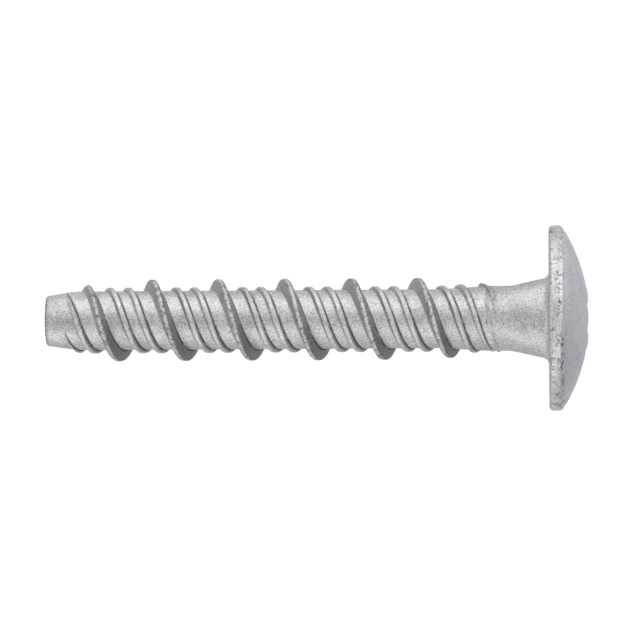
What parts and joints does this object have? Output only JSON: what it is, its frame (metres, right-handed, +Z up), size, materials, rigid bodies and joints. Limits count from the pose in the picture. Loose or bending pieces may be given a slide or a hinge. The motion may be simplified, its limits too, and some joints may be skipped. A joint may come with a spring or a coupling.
{
  "type": "concrete screw",
  "caption": "Self-tapping concrete screw with a wide domed head, a flared neck, a high-low thread and a hexalobular drive, lying at rest.",
  "frame": {"origin": "centre of the bounding box on the surface that the screw lies on", "axes": "+X towards the head, +Y across the screw, +Z up; the screw's axis leans up towards the head because the rim is wider than the thread"},
  "size_m": [0.0538, 0.0184, 0.0183],
  "materials": {
    "zinc_steel": "dull zinc-coated steel with a fine granular texture and small dark specks"
  },
  "bodies": {
    "root": {"screw": "zinc_steel"}
  },
  "joints": []
}
